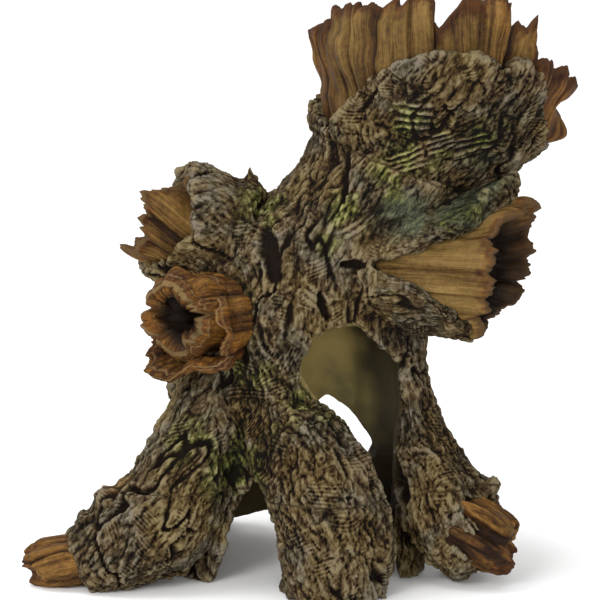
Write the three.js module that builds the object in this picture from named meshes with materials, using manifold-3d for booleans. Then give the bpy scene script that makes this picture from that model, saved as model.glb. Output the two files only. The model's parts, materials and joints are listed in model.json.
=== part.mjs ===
// Hollow tree-stump cave ornament, bonded from resin castings. Millimetres, +Z up.
// The viewer stands at -Y, so -Y is the front, +X the right and +Y the rear.
import * as THREE from "three";
import { mergeVertices } from "three/addons/utils/BufferGeometryUtils.js";
import Module from "manifold-3d";

const wasm = await Module();
wasm.setup();

// ---------- driving dimensions ----------
const GLUE = 0.3; // gap of every bonded joint
const WALL = 9; // thickness of the trunk's bark wall
const SEAM_Y = 10; // plane where the two trunk halves meet
const OVERLAP = 2; // how far a wall is drawn past the joint it is then cut back to
const BIG = 400; // reach of cutting blocks, past every part
const MIN_EDGE = 1e-3; // vertices nearer than this are one
const RIDGE_TWIST = 2; // how far a limb's ridges wind round it, in radians

// The trunk leans right above its waist: centre, half width and half depth at each height.
const TRUNK_RINGS = [
  { at: [0, 2, -6], half: [64, 58] },
  { at: [0, 2, 45], half: [62, 56] },
  { at: [-1, 2, 95], half: [60, 52] },
  { at: [0, 2, 130], half: [60, 49] },
  { at: [10, 2, 154], half: [56, 46] },
  { at: [31, 1, 171], half: [49, 43] },
  { at: [43, 1, 186], half: [44, 41] },
  { at: [52, 2, 206], half: [43, 40] },
  { at: [56, 2, 224], half: [43, 40] },
];

// The broken top: its axis starts in the trunk's neck and leans right and a little back.
const SNAG = { base: [40, 1, 175], axis: [0.38, 0.06, 0.92], squash: 0.86 };
const SNAG_JOINT = 18; // distance up the axis where sleeve and trunk meet
const SNAG_REACH = [11, 130]; // where the heartwood tube starts and ends along the axis
const SNAG_FLARE = [[-20, 42], [16, 43], [36, 53], [60, 68], [85, 70], [115, 71]];
const SNAG_BARK = 7; // bark thickness of the sleeve
const SNAG_WOOD = 6.5; // wall of the heartwood tube
const SNAG_RIDGE = { height: 1.2, count: 7 }; // long swells of the sleeve's bark
const SNAG_FLUTE = { height: 1, count: 15 }; // planks seen inside the heartwood tube

// Each branch is a flared tube of heartwood in a collar, with its outer radius at each distance.
const BRANCH = { base: [28, -14, 146], axis: [0.95, -0.31, 0.02], squash: 1 };
const BRANCH_FLARE = [[0, 22], [30, 23], [55, 25], [78, 29]];
const BRANCH_REACH = [9, 100];
const BRANCH_WOOD = 5.5;
const BRANCH_BARK = 7;
const BRANCH_FLUTE = { height: 0.8, count: 11 };
const BRANCH_LIFT = { from: 40, slope: 0.12 }; // how the bark springs away towards its rim

const KNOT = { base: [-26, -23, 122], axis: [-0.76, -0.64, 0.06], squash: 1 };
const KNOT_FLARE = [[0, 13], [25, 14], [34, 17], [44, 20]];
const KNOT_REACH = [4, 60];
const KNOT_WOOD = 5;
const KNOT_LIP = 7;
const KNOT_SEAT = 1.2; // the petals stand this far off the heartwood
const KNOT_LIFT = { from: 28, slope: 0.25, outerSlope: 0.05 };

const STUB = { base: [-22, -2, 149], axis: [-0.9, -0.12, 0.42], squash: 0.9 };
const STUB_FLARE = [[0, 23], [30, 22], [60, 25]];
const STUB_REACH = [6, 75];
const STUB_WOOD = 6;
const STUB_BARK = 6;
const STUB_FILL = [8, 22]; // the stub is solid here, so it is closed towards the trunk
const STUB_SHOULDER = { height: 4, fade: 50 }; // thicker bark along its lower side

// Locating pegs of the seam: how far across and how high, on the rear half.
const PEG = { radius: 2.4, reach: 6 };
const PEGS = [[-56, 62], [-55, 112], [55.5, 66], [54.5, 112]];

// The roots are castings of their own, glued on below this height with one tenon each.
const FOOT_Z = 46;
const TENON = { radius: 5, rise: 10 };

const COLOURS = { bark: 0x4f432e, wood: 0x7d6238 };

// ---------- solids ----------
function toSolid(geometry) {
  const bare = geometry.clone();
  bare.deleteAttribute("normal");
  bare.deleteAttribute("uv");
  const merged = mergeVertices(bare, MIN_EDGE);
  const mesh = new wasm.Mesh({
    numProp: 3,
    vertProperties: new Float32Array(merged.attributes.position.array),
    triVerts: new Uint32Array(merged.index.array),
  });
  return new wasm.Manifold(mesh);
}

function toGeometry(solid) {
  const mesh = solid.getMesh();
  const geometry = new THREE.BufferGeometry();
  geometry.setAttribute("position", new THREE.BufferAttribute(mesh.vertProperties.slice(), 3));
  geometry.setIndex(new THREE.BufferAttribute(mesh.triVerts.slice(), 1));
  geometry.computeVertexNormals();
  return geometry;
}

// Keeps only the largest body, so a cut never leaves crumbs.
function largest(solid) {
  return solid.decompose().reduce((best, body) => (body.volume() > best.volume() ? body : best));
}

function block(low, high) {
  const size = high.map((value, i) => value - low[i]);
  const box = new THREE.BoxGeometry(...size);
  box.translate(...low.map((value, i) => value + size[i] / 2));
  return toSolid(box);
}

const BELOW_FLOOR = block([-BIG, -BIG, -BIG], [BIG, BIG, 0]);

// A rod between two points.
function rod(from, to, radius, sides) {
  const start = new THREE.Vector3(...from);
  const end = new THREE.Vector3(...to);
  const direction = end.clone().sub(start);
  const cylinder = new THREE.CylinderGeometry(radius, radius, direction.length(), sides);
  const turn = new THREE.Quaternion().setFromUnitVectors(
    new THREE.Vector3(0, 1, 0),
    direction.clone().normalize(),
  );
  cylinder.applyQuaternion(turn);
  cylinder.translate(...start.add(end).multiplyScalar(0.5).toArray());
  return toSolid(cylinder);
}

// An outline in the XZ plane pushed through from front to rear.
function doorway(outline, fromY, toY) {
  const shape = new THREE.Shape();
  shape.moveTo(...outline[0]);
  shape.splineThru(outline.slice(1).map(([x, z]) => new THREE.Vector2(x, z)));
  shape.closePath();
  const slab = new THREE.ExtrudeGeometry(shape, {
    depth: toY - fromY,
    bevelEnabled: false,
    curveSegments: outline.length,
  });
  slab.rotateX(Math.PI / 2);
  slab.translate(0, toY, 0);
  return toSolid(slab);
}

// ---------- directions ----------
// forward looks at the viewer and side is at its right hand, both square to the axis.
function basis(axis) {
  const along = new THREE.Vector3(...axis).normalize();
  const forward = new THREE.Vector3(0, -1, 0);
  forward.addScaledVector(along, -forward.dot(along)).normalize();
  const side = new THREE.Vector3().crossVectors(along, forward);
  return { along, forward, side };
}

function blend(table, at) {
  if (at <= table[0][0]) return table[0][1];
  for (let i = 1; i < table.length; i += 1) {
    const [from, low] = table[i - 1];
    const [to, high] = table[i];
    if (at <= to) {
      const t = (at - from) / (to - from);
      return low + (high - low) * t * t * (3 - 2 * t);
    }
  }
  return table[table.length - 1][1];
}

// Rim tables go round in degrees: 0 faces the viewer, 90 is the side, -90 the other side.
function rimLength(rim, degrees) {
  const first = rim[0][0];
  const turned = ((((degrees - first) % 360) + 360) % 360) + first;
  const closed = [...rim, [first + 360, rim[0][1]]];
  return blend(closed, turned);
}

// Broken planks: each tooth is rounded, with a sharp notch between it and the next.
function teeth(degrees, { count, depth, phase }) {
  const within = (((degrees + phase) / 360) * count) % 1;
  const across = Math.abs(((within + 1) % 1) * 2 - 1);
  return -depth * across ** 4;
}

// A regular swell round the axis.
function flute({ height, count }, degrees) {
  return height * Math.cos(THREE.MathUtils.degToRad(degrees * count));
}

// ---------- the two building shapes ----------
// A solid limb: a cylinder drawn along a curve, with its own half width and depth at each ring.
// The rings are square to the curve, or level where the limb bends more sharply than it is wide.
function limb(rings, { sides, steps, ridges = 0, ridgeCount = 5, grow = 0, level = false }) {
  const path = new THREE.CatmullRomCurve3(rings.map((ring) => new THREE.Vector3(...ring.at)));
  const size = new THREE.CatmullRomCurve3(rings.map((ring) => new THREE.Vector3(...ring.half, 0)));
  const cylinder = new THREE.CylinderGeometry(1, 1, 1, sides, steps);
  const position = cylinder.attributes.position;
  for (let i = 0; i < position.count; i += 1) {
    const t = position.getY(i) + 0.5;
    const around = Math.atan2(position.getX(i), position.getZ(i));
    const reach = Math.hypot(position.getX(i), position.getZ(i));
    const { forward, side } = basis(level ? [0, 0, 1] : path.getTangent(t).toArray());
    const half = size.getPoint(t);
    const relief = 1 + ridges * Math.cos(ridgeCount * around + RIDGE_TWIST * t);
    const point = path.getPoint(t);
    point.addScaledVector(side, (half.x * relief + grow) * Math.sin(around) * reach);
    point.addScaledVector(forward, (half.y * relief + grow) * Math.cos(around) * reach);
    position.setXYZ(i, point.x, point.y, point.z);
  }
  return toSolid(cylinder);
}

// An open sleeve round a straight axis: a closed ring section turned about the axis.
// inner and outer give the radius at a distance up the axis, and length the rim in each direction.
function sleeve(place, { start, inner, outer, length, sides, steps }) {
  const section = [];
  for (let i = 0; i <= steps; i += 1) section.push(new THREE.Vector2(2, i / steps));
  for (let i = steps; i >= 0; i -= 1) section.push(new THREE.Vector2(1, i / steps));
  section.push(section[0].clone());
  const ring = new THREE.LatheGeometry(section, sides);
  const position = ring.attributes.position;
  const { along, forward, side } = basis(place.axis);
  for (let i = 0; i < position.count; i += 1) {
    const around = Math.atan2(position.getX(i), position.getZ(i));
    const degrees = THREE.MathUtils.radToDeg(around);
    const wall = Math.hypot(position.getX(i), position.getZ(i)) - 1;
    const distance = start + (length(degrees) - start) * position.getY(i);
    const near = inner(distance, degrees);
    const radius = near + (outer(distance, degrees) - near) * wall;
    const point = new THREE.Vector3(...place.base);
    point.addScaledVector(along, distance);
    point.addScaledVector(side, radius * Math.sin(around));
    point.addScaledVector(forward, radius * Math.cos(around) * place.squash);
    position.setXYZ(i, point.x, point.y, point.z);
  }
  return toSolid(ring);
}

// The filled core of a sleeve, for the socket that it sits in.
function core(place, from, to, radius, { sides = 28, steps = 3 } = {}) {
  const { along } = basis(place.axis);
  const rings = [];
  for (let i = 0; i <= steps; i += 1) {
    const distance = from + ((to - from) * i) / steps;
    const centre = new THREE.Vector3(...place.base).addScaledVector(along, distance);
    rings.push({ at: centre.toArray(), half: [radius(distance), radius(distance) * place.squash] });
  }
  return limb(rings, { sides, steps });
}

// ---------- heartwood and bark of the broken ends ----------
const snagOuter = (distance) => blend(SNAG_FLARE, distance);
const snagBore = (distance) => snagOuter(distance) - SNAG_BARK;
const SNAG_BARK_RIM = [
  [-180, 50], [-130, 36], [-96, 25], [-60, 24], [-46, 29], [-34, 45], [-26, 61], [-14, 74], [2, 83],
  [20, 81], [28, 87], [36, 90], [42, 80], [50, 66], [62, 55], [85, 51], [110, 54], [145, 55],
];
const SNAG_WOOD_RIM = [
  [-180, 78], [-140, 68], [-110, 62], [-92, 61], [-76, 68], [-54, 82], [-32, 92], [-18, 99],
  [-9, 89], [-3, 106], [10, 112], [19, 100], [28, 105], [33, 94], [58, 87], [72, 86], [84, 77],
  [98, 74], [112, 70], [145, 74],
];

// The same faceted form at two sizes: heartwood is cut to the plug, and what holds it to the socket.
function plug(place, [from, to], radius, grow) {
  return core(place, from - grow, to, (s) => radius(s) + grow, { sides: 28, steps: 6 });
}

function snagSleeve() {
  return sleeve(SNAG, {
    start: SNAG_JOINT,
    inner: (s) => snagBore(s) - OVERLAP,
    outer: (s, a) => snagOuter(s) + flute(SNAG_RIDGE, a),
    length: (a) => rimLength(SNAG_BARK_RIM, a) + teeth(a, { count: 17, depth: 4, phase: 20 }),
    sides: 36,
    steps: 3,
  });
}

function snagCrown() {
  return sleeve(SNAG, {
    start: SNAG_REACH[0],
    inner: (s, a) => snagBore(s) - SNAG_WOOD - flute(SNAG_FLUTE, a),
    outer: (s) => snagBore(s) + OVERLAP,
    length: (a) => rimLength(SNAG_WOOD_RIM, a) + teeth(a, { count: 15, depth: 7, phase: 8 }),
    sides: 56,
    steps: 3,
  });
}

const branchOuter = (distance) => blend(BRANCH_FLARE, distance);
const BRANCH_WOOD_RIM = [
  [-180, 77], [-140, 79], [-100, 87], [-70, 88], [-56, 80], [-42, 77], [-8, 81], [32, 76], [60, 66],
  [84, 61], [110, 65], [140, 72],
];
const BRANCH_BARK_RIM = [
  [-180, 56], [-120, 66], [-94, 77], [-62, 64], [-28, 47], [-22, 31], [-18, 15], [-10, 13], [-4, 16],
  [2, 30], [18, 45], [44, 55], [54, 62], [66, 60], [100, 54], [140, 50],
];

// The bark springs away from the wood towards its rim, most of all on the upper side.
const branchLift = (distance) => Math.max(0, distance - BRANCH_LIFT.from) * BRANCH_LIFT.slope;
const upward = (degrees) => Math.max(0, -Math.sin(THREE.MathUtils.degToRad(degrees)));

function branchHeartwood() {
  return sleeve(BRANCH, {
    start: BRANCH_REACH[0] - OVERLAP,
    inner: (s, a) => branchOuter(s) - BRANCH_WOOD - flute(BRANCH_FLUTE, a),
    outer: (s) => branchOuter(s) + OVERLAP,
    length: (a) => rimLength(BRANCH_WOOD_RIM, a) + teeth(a, { count: 11, depth: 6, phase: 0 }),
    sides: 36,
    steps: 3,
  });
}

function branchCollar() {
  return sleeve(BRANCH, {
    start: BRANCH_REACH[0],
    inner: (s) => branchOuter(s) - OVERLAP + branchLift(s),
    outer: (s, a) => branchOuter(s) + BRANCH_BARK + branchLift(s) * (1 + upward(a)),
    length: (a) => rimLength(BRANCH_BARK_RIM, a) + teeth(a, { count: 13, depth: 3, phase: 10 }),
    sides: 30,
    steps: 3,
  });
}

const knotOuter = (distance) => blend(KNOT_FLARE, distance);
const KNOT_WOOD_RIM = [
  [-180, 41], [-140, 44], [-100, 42], [-60, 39], [-20, 40], [20, 42], [60, 44], [100, 46], [150, 42],
];
const KNOT_PETAL_RIM = [
  [-180, 40], [-140, 43], [-112, 51], [-92, 47], [-70, 43], [-40, 33], [0, 30], [30, 31], [70, 36],
  [110, 40], [150, 38],
];

function knotHeartwood() {
  return sleeve(KNOT, {
    start: KNOT_REACH[0] - OVERLAP,
    inner: (s) => knotOuter(s) - KNOT_WOOD,
    outer: (s) => knotOuter(s) + OVERLAP,
    length: (a) => rimLength(KNOT_WOOD_RIM, a) + teeth(a, { count: 8, depth: 6, phase: 12 }),
    sides: 30,
    steps: 3,
  });
}

const knotLift = (distance) => Math.max(0, distance - KNOT_LIFT.from);
const knotSeat = (distance) => knotOuter(distance) + KNOT_SEAT;

function knotPetals() {
  return sleeve(KNOT, {
    start: 10,
    inner: (s) => knotSeat(s) + knotLift(s) * KNOT_LIFT.slope,
    outer: (s) => knotSeat(s) + KNOT_LIP + knotLift(s) * KNOT_LIFT.outerSlope,
    length: (a) => rimLength(KNOT_PETAL_RIM, a) + teeth(a, { count: 6, depth: 4, phase: 25 }),
    sides: 28,
    steps: 3,
  });
}

const stubOuter = (distance) => blend(STUB_FLARE, distance);
const STUB_WOOD_RIM = [
  [-180, 48], [-120, 50], [-90, 57], [-60, 50], [-30, 53], [0, 61], [25, 64], [40, 57], [55, 47],
  [80, 41], [120, 42],
];
const STUB_BARK_RIM = [
  [-180, 42], [-120, 42], [-80, 42], [-34, 38], [6, 35], [37, 40], [60, 42], [95, 43], [140, 44],
];

function stubHeartwood() {
  const planks = sleeve(STUB, {
    start: STUB_FILL[0],
    inner: (s) => stubOuter(s) - STUB_WOOD,
    outer: (s) => stubOuter(s) + OVERLAP,
    length: (a) => rimLength(STUB_WOOD_RIM, a) + teeth(a, { count: 9, depth: 6, phase: 5 }),
    sides: 34,
    steps: 2,
  });
  const fill = core(STUB, ...STUB_FILL, (s) => stubOuter(s) - STUB_WOOD / 2, { sides: 24, steps: 1 });
  return planks.add(fill);
}

const stubShoulder = (distance) => STUB_SHOULDER.height * (1 - distance / STUB_SHOULDER.fade);

function stubBark() {
  return sleeve(STUB, {
    start: 10,
    inner: (s) => stubOuter(s) - OVERLAP,
    outer: (s, a) => stubOuter(s) + STUB_BARK + stubShoulder(s) * upward(-a),
    length: (a) => rimLength(STUB_BARK_RIM, a) + teeth(a, { count: 11, depth: 3, phase: 0 }),
    sides: 28,
    steps: 2,
  });
}

// ---------- trunk and roots ----------
const TRUNK_SHAPE = { sides: 26, steps: 11, ridges: 0.018, ridgeCount: 7, level: true };
const trunkOuter = limb(TRUNK_RINGS, TRUNK_SHAPE);
const trunkClearance = limb(TRUNK_RINGS, { ...TRUNK_SHAPE, grow: 2 * GLUE });
const cavity = limb(TRUNK_RINGS, { ...TRUNK_SHAPE, sides: 22, grow: -WALL });

// Outlines seen from the front, as [across, up].
const WINDOW = [
  [6, 119], [27, 121], [38, 112], [46, 105], [50, 86], [46, 62], [45, 24], [44, -12],
  [-8, -12], [-4, 40], [2, 78], [0, 102],
];
const FRONT_ARCH = [[-20, 50], [-4, 44], [4, 20], [6, -12], [-38, -12], [-34, 20], [-29, 42]];
const REAR_ARCH = [
  [14, 73], [25, 65], [35, 53], [40, 42], [40, 12], [40, -12], [-7, -12], [-6, 30], [2, 60],
];
const REAR_HEM = [[-32, 11], [-8, 12], [-6, -12], [-46, -12], [-44, 8]];

// Roots run from the trunk's flank to the floor.
const ROOTS = {
  left_root: {
    rings: [
      { at: [-33, -16, 104], half: [15, 18] },
      { at: [-40, -22, 76], half: [22, 27] },
      { at: [-51, -30, 48], half: [24, 30] },
      { at: [-74, -44, 22], half: [24, 28] },
      { at: [-100, -44, 9], half: [16, 20] },
    ],
    tenon: [-58, -32],
  },
  front_root: {
    rings: [
      { at: [-18, -36, 106], half: [14, 12] },
      { at: [-10, -39, 85], half: [15, 16] },
      { at: [6, -55, 58], half: [25, 23] },
      { at: [17, -64, 30], half: [25, 25] },
      { at: [17, -66, -8], half: [24, 25] },
    ],
    tenon: [13, -62],
  },
  right_root: {
    rings: [
      { at: [50, -8, 114], half: [7, 12] },
      { at: [51, -12, 88], half: [9, 18] },
      { at: [58, -18, 58], half: [15, 23] },
      { at: [71, -31, 30], half: [21, 26] },
      { at: [87, -38, 12], half: [17, 23] },
    ],
    tenon: [62, -22],
  },
  rear_left_root: {
    rings: [
      { at: [-22, 38, 84], half: [14, 12] },
      { at: [-32, 50, 50], half: [19, 17] },
      { at: [-44, 66, 16], half: [18, 17] },
      { at: [-52, 74, -6], half: [15, 15] },
    ],
    tenon: [-34, 54],
  },
  rear_right_root: {
    rings: [
      { at: [42, 32, 86], half: [14, 12] },
      { at: [48, 44, 52], half: [17, 17] },
      { at: [57, 60, 18], half: [17, 17] },
      { at: [63, 68, -6], half: [14, 15] },
    ],
    tenon: [51, 48],
  },
};
const ROOT_SHAPE = { sides: 18, steps: 7, ridges: 0.06, ridgeCount: 5 };
const rootLimb = (name, grow = 0) => limb(ROOTS[name].rings, { ...ROOT_SHAPE, grow });

// Spurs of bark: a spike above the stub, and knobs on the left and right roots.
const SPIKE = { from: [-16, 2, 158], to: [-23, 0, 190], wide: 10, tip: 1.5 };
const SPURS = [
  { from: [-76, -44, 26], to: [-102, -46, 33], wide: 10, tip: 3 },
  { from: [-44, -12, 12], to: [-24, -10, 10], wide: 8, tip: 2.5 },
  { from: [70, -30, 38], to: [92, -34, 40], wide: 10, tip: 3.5 },
];

function spur({ from, to, wide, tip }, grow = 0) {
  const rings = [
    { at: from, half: [wide + grow, wide + grow] },
    { at: to, half: [tip + grow, tip + grow] },
  ];
  return limb(rings, { sides: 10, steps: 3 });
}

// The whole bark, hollow and open, before it is divided into castings.
function barkBody() {
  const walls = trunkOuter
    .add(rootLimb("right_root"))
    .subtract(doorway(WINDOW, -BIG, 0))
    .subtract(doorway(FRONT_ARCH, -BIG, 0))
    .add(rootLimb("left_root"))
    .add(rootLimb("front_root"))
    .add(rootLimb("rear_left_root"))
    .add(rootLimb("rear_right_root"))
    .add(spur(SPIKE))
    .add(SPURS.map((place) => spur(place)).reduce((all, knob) => all.add(knob)));
  return walls
    .subtract(doorway(REAR_ARCH, 0, BIG))
    .subtract(doorway(REAR_HEM, 0, BIG))
    .subtract(cavity)
    .subtract(core(SNAG, SNAG_JOINT - GLUE, BIG, () => BIG / 3, { sides: 8, steps: 1 }))
    .subtract(snagSocket)
    .subtract(branchSocket)
    .subtract(knotSocket)
    .subtract(stubSocket)
    .subtract(leftTip(GLUE))
    .subtract(rightSplinters(GLUE))
    .subtract(BELOW_FLOOR);
}

// Pegs of the rear half, which enter holes in the front half across the seam.
function seamPegs(clearance) {
  return PEGS.map(([x, z]) => {
    const from = [x, SEAM_Y - PEG.reach - clearance, z];
    return rod(from, [x, SEAM_Y + PEG.reach, z], PEG.radius + clearance, 10);
  }).reduce((all, peg) => all.add(peg));
}

function tenon(name, clearance) {
  const [x, y] = ROOTS[name].tenon;
  const top = [x, y, FOOT_Z + TENON.rise + clearance];
  return rod([x, y, FOOT_Z - TENON.rise], top, TENON.radius + clearance, 14);
}

const inFront = block([-BIG, -BIG, -BIG], [BIG, SEAM_Y - GLUE / 2, BIG]);
const behind = block([-BIG, SEAM_Y + GLUE / 2, -BIG], [BIG, BIG, BIG]);
const above = block([-BIG, -BIG, FOOT_Z + GLUE / 2], [BIG, BIG, BIG]);
const below = block([-BIG, -BIG, -BIG], [BIG, BIG, FOOT_Z - GLUE / 2]);

function trunkFront() {
  const sockets = ["left_root", "front_root", "right_root"].map((name) => tenon(name, GLUE));
  const shell = largest(bark.intersect(inFront).intersect(above));
  return sockets.reduce((rest, socket) => rest.subtract(socket), shell).subtract(seamPegs(GLUE));
}

function trunkRear() {
  const sockets = ["rear_left_root", "rear_right_root"].map((name) => tenon(name, GLUE));
  const shell = largest(bark.intersect(behind).intersect(above));
  return sockets.reduce((rest, socket) => rest.subtract(socket), shell).add(seamPegs(0));
}

// The part of the bark below the foot joint that holds this root's tenon.
function root(name, side) {
  const key = tenon(name, 0);
  const held = (body) => body.intersect(key).volume();
  const foot = bark
    .intersect(side)
    .intersect(below)
    .decompose()
    .reduce((best, body) => (held(body) > held(best) ? body : best));
  return foot.add(key);
}

// Bare wood at the end of the left root: a blunt wedge that lies along the floor.
const LEFT_TIP = [
  { at: [-90, -44, 14], half: [8, 12] },
  { at: [-106, -43, 11], half: [11, 16] },
  { at: [-120, -40, 9], half: [10, 15] },
  { at: [-127, -39, 8], half: [6, 9] },
];

function leftTip(grow) {
  return limb(LEFT_TIP, { sides: 20, steps: 6, ridges: 0.05, ridgeCount: 7, grow });
}

// Ridged splinters at the end of the right root, split lengthwise.
const SPLINTERS = [
  { from: [72, -46, 38], to: [100, -52, 20], radius: 7 },
  { from: [70, -52, 27], to: [99, -55, 10], radius: 8 },
  { from: [76, -36, 38], to: [101, -41, 22], radius: 7 },
  { from: [78, -38, 18], to: [100, -42, 9], radius: 10 },
];
const SPLINTER_ARCH = 2; // how far each splinter bows upward

function rightSplinters(grow) {
  return SPLINTERS.map(({ from, to, radius }) => {
    const middle = from.map((value, i) => (value + to[i]) / 2 + (i === 2 ? SPLINTER_ARCH : 0));
    const rings = [
      { at: from, half: [radius * 0.8, radius * 0.8] },
      { at: middle, half: [radius, radius * 1.1] },
      { at: to, half: [radius * 0.7, radius * 0.8] },
    ];
    return limb(rings, { sides: 12, steps: 4, ridges: 0.06, ridgeCount: 4, grow });
  }).reduce((all, splinter) => all.add(splinter));
}

// ---------- assembly ----------
const snagPlug = plug(SNAG, SNAG_REACH, snagBore, -GLUE);
const snagSocket = plug(SNAG, SNAG_REACH, snagBore, 0);
const branchPlug = plug(BRANCH, BRANCH_REACH, branchOuter, 0);
const branchSocket = plug(BRANCH, BRANCH_REACH, branchOuter, GLUE);
const knotPlug = plug(KNOT, KNOT_REACH, knotOuter, 0);
const knotSocket = plug(KNOT, KNOT_REACH, knotOuter, GLUE);
const stubPlug = plug(STUB, STUB_REACH, stubOuter, 0);
const stubSocket = plug(STUB, STUB_REACH, stubOuter, GLUE);
const bark = barkBody();

// What the collars and petals are cut back from, grown by the glue line.
const snagBody = core(SNAG, SNAG_JOINT - GLUE, SNAG_REACH[1], (s) => (
  snagOuter(s) + SNAG_RIDGE.height + GLUE
));
const stubBody = core(STUB, ...STUB_REACH, (s) => stubOuter(s) + STUB_BARK + 2 * GLUE);
const collarCut = trunkClearance
  .add(rootLimb("left_root", 2 * GLUE))
  .add(rootLimb("right_root", 2 * GLUE))
  .add(spur(SPIKE, 2 * GLUE));

const solids = {
  trunk_front_shell: trunkFront(),
  trunk_rear_shell: trunkRear(),
  snag_bark_sleeve: snagSleeve().subtract(snagSocket),
  snag_heartwood_crown: snagCrown().intersect(snagPlug),
  branch_bark_collar: branchCollar().subtract(branchSocket).subtract(collarCut).subtract(snagBody),
  branch_heartwood: branchHeartwood().intersect(branchPlug).subtract(snagBody),
  knot_petal_collar: knotPetals().subtract(knotSocket).subtract(collarCut).subtract(stubBody),
  knot_heartwood: knotHeartwood().intersect(knotPlug).subtract(stubBody),
  stub_bark: stubBark().subtract(stubSocket).subtract(collarCut),
  stub_heartwood: stubHeartwood().intersect(stubPlug),
  left_root: root("left_root", inFront),
  left_root_heartwood: leftTip(0).subtract(BELOW_FLOOR),
  front_root: root("front_root", inFront),
  right_root: root("right_root", inFront),
  right_root_heartwood: rightSplinters(0).subtract(BELOW_FLOOR),
  rear_left_root: root("rear_left_root", behind),
  rear_right_root: root("rear_right_root", behind),
};

const ornament = new THREE.Group();
for (const [name, solid] of Object.entries(solids)) {
  const color = /heartwood|petal/.test(name) ? COLOURS.wood : COLOURS.bark;
  const material = new THREE.MeshStandardMaterial({ color, roughness: 0.85, metalness: 0 });
  const mesh = new THREE.Mesh(toGeometry(largest(solid)), material);
  mesh.name = name;
  ornament.add(mesh);
}

// The origin is under the middle of the ornament, on the floor.
const bounds = new THREE.Box3().setFromObject(ornament);
const middle = bounds.getCenter(new THREE.Vector3());
ornament.position.set(-middle.x, -middle.y, -bounds.min.z);

export default ornament;
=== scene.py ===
"""A broken tree-stump cave ornament in painted resin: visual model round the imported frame.

Metres in the scene, and millimetres in the tables, which MM turns into metres. +Z up, front at -Y.
"""
import json
import math

import bmesh
import bpy
import numpy as np
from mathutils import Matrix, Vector
from mathutils.bvhtree import BVHTree

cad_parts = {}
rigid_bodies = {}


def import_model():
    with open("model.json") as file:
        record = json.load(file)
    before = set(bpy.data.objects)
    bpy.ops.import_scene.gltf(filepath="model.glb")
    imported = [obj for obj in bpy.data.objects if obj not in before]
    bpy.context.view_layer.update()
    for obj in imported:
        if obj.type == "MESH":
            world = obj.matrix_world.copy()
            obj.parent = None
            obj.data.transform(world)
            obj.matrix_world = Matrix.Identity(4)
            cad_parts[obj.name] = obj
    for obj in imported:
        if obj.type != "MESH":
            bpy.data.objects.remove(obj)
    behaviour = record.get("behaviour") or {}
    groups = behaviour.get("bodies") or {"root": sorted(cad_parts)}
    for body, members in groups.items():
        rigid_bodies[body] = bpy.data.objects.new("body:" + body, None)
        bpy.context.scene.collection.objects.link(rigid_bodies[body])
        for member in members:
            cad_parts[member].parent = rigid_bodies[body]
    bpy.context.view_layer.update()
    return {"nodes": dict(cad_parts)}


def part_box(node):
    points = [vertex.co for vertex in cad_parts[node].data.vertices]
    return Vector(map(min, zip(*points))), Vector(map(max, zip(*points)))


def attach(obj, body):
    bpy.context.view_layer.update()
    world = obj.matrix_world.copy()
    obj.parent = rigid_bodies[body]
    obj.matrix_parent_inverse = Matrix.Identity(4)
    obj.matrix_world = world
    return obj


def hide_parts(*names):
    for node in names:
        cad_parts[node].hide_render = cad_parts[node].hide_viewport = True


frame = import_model()

MM = 0.001


# ---------- noise on arrays of points ----------
LAST_32_BITS = np.uint64(0xFFFFFFFF)


def hash_grid(cell, seed):
    """A repeatable number from 0 to 1 for each whole-number cell."""
    keys = np.array([0x9E3779B1, 0x85EBCA77, 0xC2B2AE3D], np.uint64)
    h = np.bitwise_xor.reduce(cell.astype(np.int64).astype(np.uint64) * keys, axis=-1)
    h = (h + np.uint64(seed * 0x27D4EB2F)) & LAST_32_BITS
    for shift, factor in ((15, 0x2C1B3C6D), (12, 0x297A2D39), (15, 1)):
        h = ((h ^ (h >> np.uint64(shift))) * np.uint64(factor)) & LAST_32_BITS
    return h.astype(np.float64) / float(LAST_32_BITS)


def value_noise(p, seed):
    """Smooth noise from -1 to 1 with features about one unit wide."""
    base = np.floor(p)
    f = p - base
    w = f * f * f * (f * (f * 6 - 15) + 10)
    total = np.zeros(len(p))
    for corner in np.ndindex(2, 2, 2):
        x, y, z = np.abs(1 - np.array(corner) - w).T
        total += hash_grid(base + corner, seed) * (x * y * z)
    return total * 2 - 1


def layered_noise(p, seed, gain=0.5):
    """Smooth noise, with finer noise on top of it."""
    return value_noise(p, seed) + gain * value_noise(p * 2.03 + 17.3, seed + 1)


def cells(p, seed):
    """Worley cells: distance to the border between cells, and two random numbers of the cell."""
    base = np.floor(p)
    near, second = np.full((2, len(p)), 9.0)
    mark, mark2 = np.zeros((2, len(p)))
    for offset in np.ndindex(3, 3, 3):
        cell = base + offset - 1
        point = cell + np.stack([hash_grid(cell, seed + k) for k in (0, 1, 2)], 1)
        distance = np.linalg.norm(point - p, axis=1)
        closer = distance < near
        second = np.where(closer, near, np.minimum(second, distance))
        mark = np.where(closer, hash_grid(cell, seed + 3), mark)
        mark2 = np.where(closer, hash_grid(cell, seed + 4), mark2)
        near = np.minimum(near, distance)
    return second - near, mark, mark2


def step(low, high, value):
    """0 up to low, 1 from high on, and a smooth rise between them."""
    t = np.clip((value - low) / (high - low), 0, 1)
    return t * t * (3 - 2 * t)


# ---------- meshes ----------
def new_object(name, data):
    piece = bpy.data.objects.new(name, data)
    bpy.context.scene.collection.objects.link(piece)
    return piece


def mesh_from(name, points, faces):
    mesh = bpy.data.meshes.new(name)
    mesh.from_pydata([tuple(p) for p in points], [], [tuple(f) for f in faces])
    mesh.update()
    return mesh


def rows_of(items, key, width, kind):
    """One property of all the items of a mesh, as an array with a row for each."""
    values = np.empty(len(items) * width, kind)
    items.foreach_get(key, values)
    return values.reshape(-1, width)


def coordinates(mesh):
    return rows_of(mesh.vertices, "co", 3, np.float32).astype(np.float64)


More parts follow.
